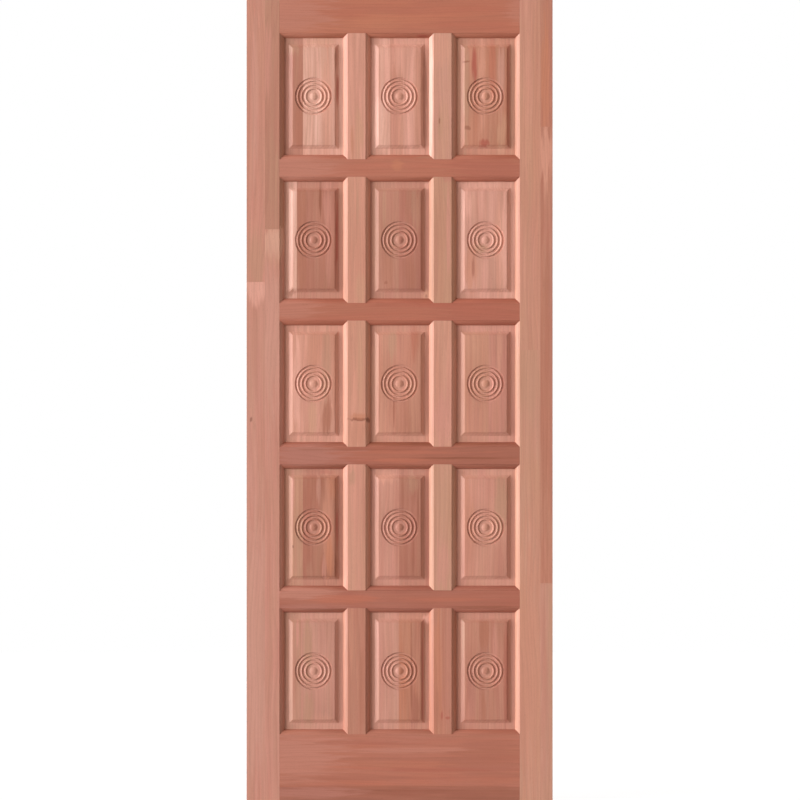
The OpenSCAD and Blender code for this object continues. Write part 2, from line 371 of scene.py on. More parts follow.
def smooth(obj):
    """Smooths the turned and moulded curves, and leaves flat faces and their arrises flat."""
    pick(obj)
    bpy.ops.object.shade_smooth_by_angle(angle=CRISP_ANGLE)


def hand_over(obj, node, roundel=None):
    """Gives a finished piece its name, its timber, and its place in the frame."""
    obj.name = node + "_finished"
    obj.data.name = obj.name
    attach(obj, "root")
    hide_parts(node)
    give_timber(obj, node, roundel)


# Layout

Member = namedtuple("Member", "low high corners")


def rail_box(row):
    """Corners of the rail under a row of panels, where row 0 is the top rail."""
    if row == 0:
        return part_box("top_rail")
    if row == ROWS:
        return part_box("bottom_rail_foot")[0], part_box("bottom_rail_board")[1]
    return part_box(f"cross_rail_{row}")


def stile_edge(side):
    """Inner edge of a stile."""
    low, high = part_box(f"{side}_stile_inner_lower")
    return high.x if side == "left" else low.x


def rail_member(row):
    """Face of a rail between the stiles, with the corners that its mouldings mitre."""
    width = mouldings().moulding_w
    low, high = rail_box(row)
    left, right = stile_edge("left") - width, stile_edge("right") + width
    edges = [(low.z, -1)] * (row < ROWS) + [(high.z, 1)] * (row > 0)
    corners = [(x, side, z, end) for z, end in edges for x, side in ((left, -1), (right, 1))]
    return Member(Vector((left, FRONT, low.z)), Vector((right, BACK, high.z)), corners)


def mullion_member(row, column):
    """Face of a mullion, with the corners that its mouldings mitre."""
    width = mouldings().moulding_w
    low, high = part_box(f"mullion_row{row}_{column}")
    foot, head = rail_box(row)[1].z - width, rail_box(row - 1)[0].z + width
    edges, ends = ((low.x, -1), (high.x, 1)), ((foot, -1), (head, 1))
    corners = [(x, side, z, end) for x, side in edges for z, end in ends]
    return Member(Vector((low.x, FRONT, foot)), Vector((high.x, BACK, head)), corners)


def saw_mitres(obj, member):
    """Saws each corner of a member off at 45 degrees."""
    width = mouldings().moulding_w
    for x, side, z, end in member.corners:
        saw(obj, (x - side * width, 0, z), (side, 0, end))


def housing(member):
    """Mitred block that makes room for a member in its neighbour."""
    spare = Vector((0, OVERCUT, 0))
    obj = block("housing", member.low - spare, member.high + spare)
    saw_mitres(obj, member)
    return obj


def moulding_curve():
    """Points of the moulding, each as its distance from the worked edge and from the leaf's middle."""
    sizes = mouldings()
    foot = Vector((0, sizes.groove_w / 2 + sizes.lip_t))
    head = Vector((sizes.moulding_w, BACK - sizes.step_d))
    chord = head - foot
    inwards = Vector((chord.y, -chord.x)).normalized()
    reach = math.sqrt(sizes.moulding_r ** 2 - chord.length_squared / 4)
    centre = (foot + head) / 2 + inwards * reach
    start, end = (math.atan2(point.y - centre.y, point.x - centre.x) for point in (foot, head))
    angles = [start + (end - start) * i / sizes.curve_steps for i in range(sizes.curve_steps + 1)]
    return [centre + sizes.moulding_r * Vector((math.cos(a), math.sin(a))) for a in angles]


def moulded_bar(name, width, reach, low, high):
    """Upright bar from the origin, worked along its low edge, its high edge or both.

    Its section is drawn flat, worked at its corners, and drawn out.
    """
    sizes = mouldings()
    shelf = BACK - sizes.step_d
    curve = moulding_curve()
    foot, head = curve[0], curve[-1]
    worked = [(0, 1)] * low + [(width, -1)] * high
    deselect()
    bpy.ops.mesh.primitive_plane_add(size=1, location=(width / 2, 0, 0))
    obj = bpy.context.object
    obj.name = name
    obj.scale = (width, BACK - FRONT, 1)
    settle(obj)

    def waste(face):
        centre = face.calc_center_median()
        depth = min([abs(centre.x - edge) for edge, _ in worked], default=width)
        height = abs(centre.y)
        over_chord = (height - foot.y) * head.x > depth * (head.y - foot.y)
        in_groove = depth < sizes.groove_d and height < sizes.groove_w / 2
        return in_groove or (depth < sizes.moulding_w and (height > shelf or over_chord))

    with editing(obj):
        for y in (-shelf, -sizes.groove_w / 2, sizes.groove_w / 2, shelf):
            score((0, y, 0), (0, 1, 0))
        for edge, inwards in worked:
            score((edge + inwards * sizes.moulding_w, 0, 0), (1, 0, 0))
            score((edge + inwards * sizes.groove_d, 0, 0), (1, 0, 0))
            for side in (-1, 1):
                score((edge, side * foot.y, 0), (inwards * (head.y - foot.y), -side * head.x, 0))
        choose(obj, "FACE", waste)
        bpy.ops.mesh.delete(type="FACE")
        bpy.ops.mesh.select_all(action="SELECT")
        bpy.ops.mesh.dissolve_limited(angle_limit=KEPT_ANGLE)
        for edge, inwards in worked:
            for side in (-1, 1):
                placed = [Vector((edge + inwards * point.x, side * point.y, 0)) for point in curve]
                round_edge(obj, placed)
        draw_out(reach)
    return obj


def round_edge(obj, curve):
    """In edit mode, splits the straight edge between a curve's ends and moves it out to the curve."""
    start, end = curve[0], curve[-1]
    middle = (start + end) / 2
    steps = len(curve) - 1
    choose(obj, "EDGE", lambda edge: ((edge.verts[0].co + edge.verts[1].co) / 2 - middle).length < CLOSE)
    bpy.ops.mesh.subdivide(number_cuts=steps - 1)
    for i in range(1, steps):
        flat = start.lerp(end, i / steps)
        choose(obj, "VERT", lambda vertex: (vertex.co - flat).length < CLOSE)
        bpy.ops.transform.translate(value=curve[i] - flat)


# Rails

def tenon_spans(row):
    """Bottom and top of each through tenon of a rail."""
    sizes = joints()
    low, high = rail_box(row)
    setback = mouldings().moulding_w + sizes.tenon_shoulder
    if row == 0:
        return [(low.z + setback, high.z - sizes.top_haunch)]
    if row < ROWS:
        return [(low.z + setback, high.z - setback)]
    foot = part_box("bottom_rail_foot")[1].z
    half_board = (high.z - mouldings().moulding_w - foot) / 2
    inset = sizes.tenon_gap / 2
    return [(foot + i * half_board + inset, foot + (i + 1) * half_board - inset) for i in (0, 1)]


def tenons(row, glue, extra):
    """Bars from edge to edge of the leaf that hold a rail's tenons."""
    half = mouldings().groove_w / 2 + glue
    return [
        block("tenon", (DOOR_LEFT - extra, -half, low - glue), (DOOR_RIGHT + extra, half, high + glue))
        for low, high in tenon_spans(row)
    ]


def stub(row, column, glue, room):
    """Bar that holds both stub tenons of a mullion."""
    setback = mouldings().moulding_w + joints().tenon_shoulder - glue
    half = mouldings().groove_w / 2 + glue
    low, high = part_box(f"mullion_row{row}_{column}")
    return block("stub", (low.x + setback, -half, low.z - room), (high.x - setback, half, high.z + room))


def mullions_beside(row):
    """Mullions that meet a rail from above and from below."""
    return [(r, c) for r in (row, row + 1) if 0 < r <= ROWS for c in range(1, COLUMNS)]


def rail(row):
    """Rail with its tenons, housings and sockets."""
    member = rail_member(row)
    reach = member.high.x - member.low.x
    width = member.high.z - member.low.z
    obj = moulded_bar("rail", width, reach, row < ROWS, row > 0)
    obj.rotation_euler = (0, math.radians(-90), 0)
    obj.location = (member.high.x, 0, member.low.z)
    settle(obj)
    saw_mitres(obj, member)
    met = mullions_beside(row)
    machine(obj, [housing(mullion_member(*place)) for place in met])
    sand(obj)
    for tenon in tenons(row, 0, 0):
        machine(obj, [tenon], "UNION")
    machine(obj, [stub(*place, joints().glue_line, joints().stub_room) for place in met])
    return obj


# Stiles

def fingers_below(left, right, height):
    """All that lies below a finger joint, between two uprights."""
    sizes = joints()
    pitch = (BACK - FRONT) / (2 * sizes.fingers)
    steps = 2 * sizes.fingers + 2
    deselect()
    bpy.ops.mesh.primitive_grid_add(x_subdivisions=1, y_subdivisions=steps, size=1)
    obj = bpy.context.object
    obj.scale = (right - left, steps * pitch, 1)
    obj.location = ((left + right) / 2, 0, height - sizes.finger_l / 2)
    settle(obj)

    def on_ridge(vertex):
        line = round((vertex.co.y - FRONT) / pitch)
        return 0 < line < 2 * sizes.fingers and line % 2 == 1

    with editing(obj):
        choose(obj, "VERT", on_ridge)
        bpy.ops.transform.translate(value=(0, 0, sizes.finger_l))
        draw_out(-DOOR_TOP - OVERCUT)
    return obj


def stile(side):
    """Stile in one length, with its mortises, its wedge slots and the rails' housings."""
    inner = stile_edge(side)
    left, right = (DOOR_LEFT, inner) if side == "left" else (inner, DOOR_RIGHT)
    obj = moulded_bar("stile", right - left, DOOR_TOP, side == "right", side == "left")
    obj.location = (left, 0, 0)
    settle(obj)
    rows = range(ROWS + 1)
    machine(obj, [housing(rail_member(row)) for row in rows])
    sand(obj)
    machine(obj, [bar for row in rows for bar in tenons(row, joints().glue_line, OVERCUT)])
    wedges = duplicate(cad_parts["tenon_wedges"], "wedges")
    with editing(wedges):
        bpy.ops.mesh.remove_doubles(threshold=CLOSE)
    machine(obj, [wedges])
    return obj


def staves_of(side, layer):
    """Names of a layer's staves, from the bottom up."""
    names = [name for name in NODES if name.startswith(f"{side}_stile_{layer}_")]
    return sorted(names, key=lambda name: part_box(name)[0].z)


def part_staves(whole, side):
    """Parts a stile at its seam and at its finger joints, and hands over the staves."""
    outer, inner = (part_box(staves_of(side, layer)[0]) for layer in ("outer", "inner"))
    seams = (outer[1].x, inner[0].x) if side == "left" else (inner[1].x, outer[0].x)
    for layer in ("outer", "inner"):
        names = staves_of(side, layer)
        low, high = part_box(names[0])
        rest = duplicate(whole, "layer")
        keep_low = (low.x if low.x in seams else low.x - OVERCUT, FRONT - OVERCUT, -OVERCUT)
        keep_high = (high.x if high.x in seams else high.x + OVERCUT, BACK + OVERCUT, DOOR_TOP + OVERCUT)
        machine(rest, [block("layer", keep_low, keep_high)], "INTERSECT")
        for name in names[:-1]:
            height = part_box(name)[1].z - joints().finger_l / 2
            lower = duplicate(rest, "lower")
            for part, operation in ((lower, "INTERSECT"), (rest, "DIFFERENCE")):
                machine(part, [fingers_below(low.x - OVERCUT, high.x + OVERCUT, height)], operation)
            smooth(lower)
            hand_over(lower, name)
        smooth(rest)
        hand_over(rest, names[-1])
    bpy.data.objects.remove(whole)


# Mullions

def mullion():
    """Mullion of the first row, with its stub tenons."""
    member = mullion_member(1, 1)
    obj = moulded_bar("mullion", member.high.x - member.low.x, member.high.z - member.low.z, True, True)
    obj.location = (member.low.x, 0, member.low.z)
    settle(obj)
    saw_mitres(obj, member)
    machine(obj, [stub(1, 1, 0, 0)], "UNION")
    sand(obj)
    return obj


# Panels

def panel_nodes(row, column):
    """Boards of a panel, from left to right."""
    names = [name for name in NODES if (name + "_").startswith(f"panel_row{row}_{column}_")]
    return sorted(names, key=lambda name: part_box(name)[0].x)


def arc(radius, start, end, steps):
    """Points on a circle as (sine, cosine) lengths, between two angles."""
    angles = [start + (end - start) * i / steps for i in range(steps + 1)]
    return [(radius * math.sin(a), radius * math.cos(a)) for a in angles]


BEAD_FACETS = 16
DOME_FACETS = 9


def roundel_profile():
    """Radius and height above the floor of the recess, from its wall to its middle."""
    sizes = panels()
    crest = sizes.recess_d - sizes.crest_drop
    points = [(sizes.recess_r, 0)]
    bead_centre = crest - sizes.bead_r
    bead_end = math.acos(-bead_centre / sizes.bead_r)
    for i in reversed(range(sizes.beads)):
        ring = sizes.first_bead_r + i * sizes.bead_pitch
        for across, up in arc(sizes.bead_r, bead_end, -bead_end, BEAD_FACETS):
            points.append((ring + across, bead_centre + up))
    dome_end = math.asin(sizes.button_r / sizes.button_dome_r)
    dome_tip = dome_end / 12
    points.append((sizes.button_r + CLOSE, 0))
    for across, up in arc(sizes.button_dome_r, dome_end, dome_tip, DOME_FACETS):
        points.append((across, crest - sizes.button_dome_r + up))
    return points


def turn_roundel(obj, side):
    """Sinks a round recess in the field of one face, then raises its beads and button ring by ring."""
    sizes = panels()
    field = side * sizes.field_t / 2
    deselect()
    bpy.ops.mesh.primitive_cylinder_add(
        vertices=sizes.turning_steps, radius=sizes.recess_r, depth=2 * sizes.recess_d,
        location=(0, field, 0), rotation=(math.radians(90), 0, 0))
    settle(bpy.context.object)
    machine(obj, [bpy.context.object])
    floor = field - side * sizes.recess_d

    def on_rim(edge):
        off_rim = [abs(math.hypot(vertex.co.x, vertex.co.z) - sizes.recess_r) for vertex in edge.verts]
        return max(off_rim) < 10 * CLOSE and all(abs(vertex.co.y - field) < CLOSE for vertex in edge.verts)

    def on_floor(face):
        centre = face.calc_center_median()
        return abs(centre.y - floor) < CLOSE and math.hypot(centre.x, centre.z) < sizes.button_r

    profile = roundel_profile()
    with editing(obj):
        choose(obj, "EDGE", on_rim)
        bpy.ops.mesh.bevel(offset=mouldings().arris, segments=2, affect="EDGES", clamp_overlap=False)
        choose(obj, "FACE", on_floor)
        for (radius, height), (next_radius, next_height) in zip(profile, profile[1:]):
            bpy.ops.mesh.inset(thickness=radius - next_radius, depth=next_height - height)


def raised_panel():
    """Whole panel centred on the origin, alike on both faces: tongue, border, bevel, field and roundel."""
    sizes = panels()
    low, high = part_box("panel_row1_3")
    half = (high - low) / 2
    obj = block("panel", (-half.x, -sizes.tongue_t / 2, -half.z), (half.x, sizes.tongue_t / 2, half.z))
    inner_top = half.z - sizes.tongue_l - sizes.border_w

    def on_field(face):
        centre = face.calc_center_median()
        return abs(face.normal.y) > 1 - CLOSE and math.hypot(centre.x, centre.z) < CLOSE

    with editing(obj):
        choose(obj, "FACE", on_field)
        bpy.ops.mesh.inset(thickness=sizes.tongue_l + sizes.border_w, use_individual=True)
        for end in (-1, 1):
            choose(obj, "VERT", lambda vertex: abs(vertex.co.z - end * inner_top) < CLOSE)
            bpy.ops.transform.translate(value=(0, 0, end * (sizes.border_w - sizes.border_h)))
        choose(obj, "FACE", on_field)
        bpy.ops.mesh.inset(
            thickness=sizes.bevel_w, depth=(sizes.field_t - sizes.tongue_t) / 2, use_individual=True)
    sand(obj)
    for side in (-1, 1):
        turn_roundel(obj, side)
    smooth(obj)
    return obj


def part_panel(whole, row, column):
    """Copies the panel to its opening, parted at its seams, and hands over the boards."""
    names = panel_nodes(row, column)
    middle = (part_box(names[0])[0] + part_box(names[-1])[1]) / 2
    for i, name in enumerate(names):
        low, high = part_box(name)
        board = duplicate(whole, "board", middle)
        if i > 0:
            saw(board, (low.x, 0, 0), (-1, 0, 0))
        if i < len(names) - 1:
            saw(board, (high.x, 0, 0), (1, 0, 0))
        smooth(board)
        hand_over(board, name, middle)


# Shader helpers

def shader(tree, kind, inputs=(), **settings):
    """Adds a node, sets it up, and links or sets the inputs that are named."""
    node = tree.nodes.new("ShaderNode" + kind)
    for name, value in settings.items():
        setattr(node, name, value)
    for key, value in dict(inputs).items():
        if isinstance(value, bpy.types.NodeSocket):
            tree.links.new(value, node.inputs[key])
        else:
            node.inputs[key].default_value = value
    return node


def sums(tree, operation, *values):
    """Math on numbers."""
    return shader(tree, "Math", enumerate(values), operation=operation).outputs[0]


def times(tree, first, second):
    return sums(tree, "MULTIPLY", first, second)


def vectors(tree, operation, *values, output="Vector"):
    """Math on vectors, which puts out a vector, or a number as its Value."""
    return shader(tree, "VectorMath", enumerate(values), operation=operation).outputs[output]


def compose(tree, x, y, z):
    return shader(tree, "CombineXYZ", {"X": x, "Y": y, "Z": z}).outputs[0]


def noise(tree, vector, detail, roughness=0.5, distortion=0.0, output="Fac"):
    inputs = {"Vector": vector, "Scale": 1.0, "Detail": detail, "Roughness": roughness,
              "Distortion": distortion}
    return shader(tree, "TexNoise", inputs).outputs[output]


def ease(tree, value, low, high):
    """Goes smoothly from 0 to 1 while value goes from low to high."""
    inputs = {"Value": value, "From Min": low, "From Max": high}
    return shader(tree, "MapRange", inputs, interpolation_type="SMOOTHSTEP").outputs["Result"]


def blend_tones(tree, share, first, second):
    """Goes from the first tone to the second while share goes from 0 to 1."""
    node = shader(tree, "Mix", data_type="RGBA")
    sockets = [socket for socket in node.inputs if socket.enabled]
    for socket, value in zip(sockets, (share, first, second)):
        if isinstance(value, bpy.types.NodeSocket):
            tree.links.new(value, socket)
        else:
            socket.default_value = value
    return next(socket for socket in node.outputs if socket.enabled)


def lay_tone(tree, mask, share, under, over):
    """Lays a tone over another where a mask says, at a share of its strength."""
    return blend_tones(tree, times(tree, mask, share), under, over)


def effect(name, inputs, outputs):
    """New shader node group with named sockets, and its input's and output's ends."""
    group = bpy.data.node_groups.new(name, "ShaderNodeTree")
    kinds = {"vector": "NodeSocketVector", "value": "NodeSocketFloat", "colour": "NodeSocketColor"}
    for way, sockets in (("INPUT", inputs), ("OUTPUT", outputs)):
        for socket, kind in sockets.items():
            group.interface.new_socket(socket, in_out=way, socket_type=kinds[kind])
    source = group.nodes.new("NodeGroupInput").outputs
    target = group.nodes.new("NodeGroupOutput").inputs
    return group, source, target


def place_effect(tree, group, inputs):
    """Places a node group in a tree with its own values, and returns its outputs."""
    return shader(tree, "Group", inputs, node_tree=group).outputs


# Timber effects, each a node group that is built once

# Noise lies round this value, and seldom further from it than its reach
NOISE_MIDDLE = 0.5
NOISE_REACH = 0.25

# Width and length of each kind of streak, in metres, and how sharply it stands out
Streaks = namedtuple("Streaks", "width reach contrast")
BROAD = Streaks(0.016, 0.45, 1.3)
NARROW = Streaks(0.005, 0.25, 1.3)
DRIFT = Streaks(0.045, 0.30, 1.5)
OLIVE = Streaks(0.018, 0.22, 1.6)
RED = Streaks(0.009, 0.4, 1.6)
FINE = Streaks(0.0009, 0.05, 1.0)
LATE_WOOD = Streaks(0.0022, 0.12, 1.1)

# Sizes of noise across, through and along the grain, in metres
PORE_SIZE = (0.0005, 0.0005, 0.006)
RAGGED_SIZE = (0.006, 0.006, 0.08)
SWAY_WIDTH = 0.25

# Waves of the rings to a metre, across, through and along the grain, and their height in rings
RING_WAVES = (30, 30, 1.5)
RING_WAVE_HEIGHT = 5.0

# How far the rings' middle lies from the origin, and how wide a ring is, in metres
PITH = (0.16, 0.09, 0.0)
RING_SPACING = 0.006

PORE_DENSITY = 0.75
ROUGHNESS = 0.5


@cache
def grain_effect():
    """Streaks along Z, of a given width and length, from 0 to 1."""
    group, source, target = effect(
        "grain", {"Vector": "vector", "Width": "value", "Length": "value", "Contrast": "value"},
        {"Mask": "value"})
    size = compose(group, source["Width"], source["Width"], source["Length"])
    stretched = vectors(group, "DIVIDE", source["Vector"], size)
    pattern = noise(group, stretched, detail=3, roughness=0.55, distortion=0.15)
    spread = sums(group, "DIVIDE", NOISE_REACH, source["Contrast"])
    low = sums(group, "SUBTRACT", NOISE_MIDDLE, spread)
    high = sums(group, "ADD", NOISE_MIDDLE, spread)
    group.links.new(ease(group, pattern, low, high), target["Mask"])
    return group


def streaks(tree, vector, kind):
    """Places one kind of streak."""
    return place_effect(tree, grain_effect(), {
        "Vector": vector, "Width": kind.width, "Length": kind.reach, "Contrast": kind.contrast})["Mask"]


@cache
def wander_effect():
    """Lets straight grain wander sideways as it runs along Z."""
    group, source, target = effect(
        "wander", {"Vector": "vector", "Sway": "value", "Reach": "value"}, {"Vector": "vector"})
    size = compose(group, SWAY_WIDTH, SWAY_WIDTH, source["Reach"])
    slow = vectors(group, "DIVIDE", source["Vector"], size)
    aside = sums(group, "SUBTRACT", noise(group, slow, detail=1), NOISE_MIDDLE)
    sway = times(group, aside, source["Sway"])
    offset = compose(group, sway, sway, 0.0)
    group.links.new(vectors(group, "ADD", source["Vector"], offset), target["Vector"])
    return group


@cache
def rings_effect():
    """Thin late-wood lines along Z, and arcs of growth rings on the end grain."""
    group, source, target = effect(
        "growth_rings", {"Vector": "vector", "Spacing": "value"}, {"Mask": "value"})
    from_pith = vectors(group, "MULTIPLY", vectors(group, "ADD", source["Vector"], PITH), (1, 1, 0))
    distance = vectors(group, "LENGTH", from_pith, output="Value")
    waves = noise(group, vectors(group, "MULTIPLY", source["Vector"], RING_WAVES), detail=2)
    years = sums(group, "DIVIDE", distance, source["Spacing"])
    season = sums(group, "FRACT", sums(group, "ADD", years, times(group, waves, RING_WAVE_HEIGHT)))
    late, winter = 0.35, 1.0
    group.links.new(ease(group, season, late, winter), target["Mask"])
    return group


@cache
def pores_effect():
    """Short dark dashes of open pores along Z."""
    group, source, target = effect("pores", {"Vector": "vector", "Density": "value"}, {"Mask": "value"})
    dashes = noise(group, vectors(group, "DIVIDE", source["Vector"], PORE_SIZE), detail=1)
    rarest, commoner, soft = 0.8, 0.2, 0.06
    limit = sums(group, "SUBTRACT", rarest, times(group, source["Density"], commoner))
    group.links.new(ease(group, dashes, limit, sums(group, "ADD", limit, soft)), target["Mask"])
    return group


@cache
def ragged_effect():
    """Streaky sideways shake that gives the edges of marks their ragged look."""
    group, source, target = effect(
        "ragged", {"Vector": "vector", "Spread": "vector"}, {"Shake": "vector"})
    cells = vectors(group, "DIVIDE", source["Vector"], RAGGED_SIZE)
    shake = vectors(group, "SUBTRACT", noise(group, cells, detail=3, output="Color"), 3 * (NOISE_MIDDLE,))
    group.links.new(vectors(group, "MULTIPLY", shake, source["Spread"]), target["Shake"])
    return group


@cache
def mark_effect():
    """Soft ragged oval, such as a knot or a streak, at a place on the leaf."""
    group, source, target = effect(
        "mark", {"Position": "vector", "Centre": "vector", "Reach": "vector", "Shake": "vector"},
        {"Mask": "value"})
    away = vectors(group, "SUBTRACT", source["Position"], source["Centre"])
    away = vectors(group, "ADD", vectors(group, "DIVIDE", away, source["Reach"]), source["Shake"])
    distance = vectors(group, "LENGTH", away, output="Value")
    outer, inner = 1.25, 0.5
    group.links.new(ease(group, distance, outer, inner), target["Mask"])
    return group


@cache
def tones_effect():
    """Tones of a board: broad and narrow streaks and slow drifts along the grain."""
    group, source, target = effect(
        "board_tones",
        {"Vector": "vector", "Light": "colour", "Deep": "colour", "Warm": "colour",
         "Olive": "colour", "Red": "colour", "Streak": "value", "Drift": "value"},
        {"Color": "colour"})
    near = source["Vector"]
    narrow_share, olive_share, red_share = 0.7, 0.35, 0.17
    metres_off = (3.0, 3.0, 3.0)
    apart = vectors(group, "ADD", near, metres_off)
    colour = source["Light"]
    for kind, vector, share, over in (
        (BROAD, near, source["Streak"], "Deep"),
        (DRIFT, near, source["Drift"], "Warm"),
        (NARROW, near, times(group, source["Streak"], narrow_share), "Deep"),
        (OLIVE, apart, olive_share, "Olive"),
        (RED, apart, red_share, "Red"),
    ):
        colour = lay_tone(group, streaks(group, vector, kind), share, colour, source[over])
    group.links.new(colour, target["Color"])
    return group


@cache
def recess_light_effect():
    """Painted light that lifts the shade where timber lies below the field: the turned grooves round a
    panel's middle, and its bevels and border.
    """
    group, source, target = effect(
        "painted_recess_light", {"Position": "vector", "Centre": "vector", "Radius": "value", "Field": "value",
                      "Recess": "value", "Border": "value"}, {"Mask": "value"})
    away = vectors(group, "SUBTRACT", source["Position"], source["Centre"])
    in_plane = vectors(group, "MULTIPLY", away, (1, 0, 1))
    distance = vectors(group, "LENGTH", in_plane, output="Value")
    inside = sums(group, "LESS_THAN", distance, source["Radius"])
    depth = shader(group, "SeparateXYZ", {"Vector": away}).outputs["Y"]
    sunk = sums(group, "SUBTRACT", source["Field"], sums(group, "ABSOLUTE", depth))
    crest, floor = 0.35, 1.0
    turned = ease(group, sums(group, "DIVIDE", sunk, source["Recess"]), crest, floor)
    edged = ease(group, sums(group, "DIVIDE", sunk, source["Border"]), 0.0, floor)
    outside = sums(group, "SUBTRACT", 1.0, inside)
    mask = sums(group, "ADD", times(group, inside, turned), times(group, outside, edged))
    group.links.new(mask, target["Mask"])
    return group


@cache
def sanded_effect():
    """Fine figure of sanded timber over a board's tones: late wood, pores and end grain."""
    group, source, target = effect(
        "sanded_timber", {"Vector": "vector", "Color": "colour", "Pore": "colour", "End Grain": "value"},
        {"Color": "colour", "Roughness": "value", "Height": "value"})
    vector, pore, end_grain = source["Vector"], source["Pore"], source["End Grain"]
    fine = streaks(group, vector, FINE)
    lines = streaks(group, vector, LATE_WOOD)
    rings = place_effect(group, rings_effect(), {"Vector": vector, "Spacing": RING_SPACING})["Mask"]
    pores = place_effect(group, pores_effect(), {"Vector": vector, "Density": PORE_DENSITY})["Mask"]
    colour = source["Color"]
    for mask, share in ((rings, 0.09), (lines, 0.07), (fine, 0.06), (pores, 0.28)):
        colour = lay_tone(group, mask, share, colour, pore)
    sawn_depth, sawn_rings = 0.3, 0.35
    sawn_share = sums(group, "ADD", times(group, rings, sawn_rings), sawn_depth)
    sawn = blend_tones(group, sawn_share, source["Color"], pore)
    group.links.new(blend_tones(group, end_grain, colour, sawn), target["Color"])
    rough = ROUGHNESS
    for mask, more in ((fine, 0.10), (end_grain, 0.2)):
        rough = sums(group, "ADD", rough, times(group, mask, more))
    group.links.new(rough, target["Roughness"])
    height = 0.0
    for mask, more in ((fine, 0.25), (lines, 0.2), (pores, -0.6)):
        height = sums(group, "ADD", height, times(group, mask, more))
    group.links.new(height, target["Height"])
    return group


# Timber of each piece

# Three tones, the strength of streaks and drifts, and marks. Each mark is its tone, its place across and up
# the leaf, its half width and half height, all in millimetres, and its strength.
Timber = namedtuple("Timber", "light deep warm streak drift marks", defaults=((),))

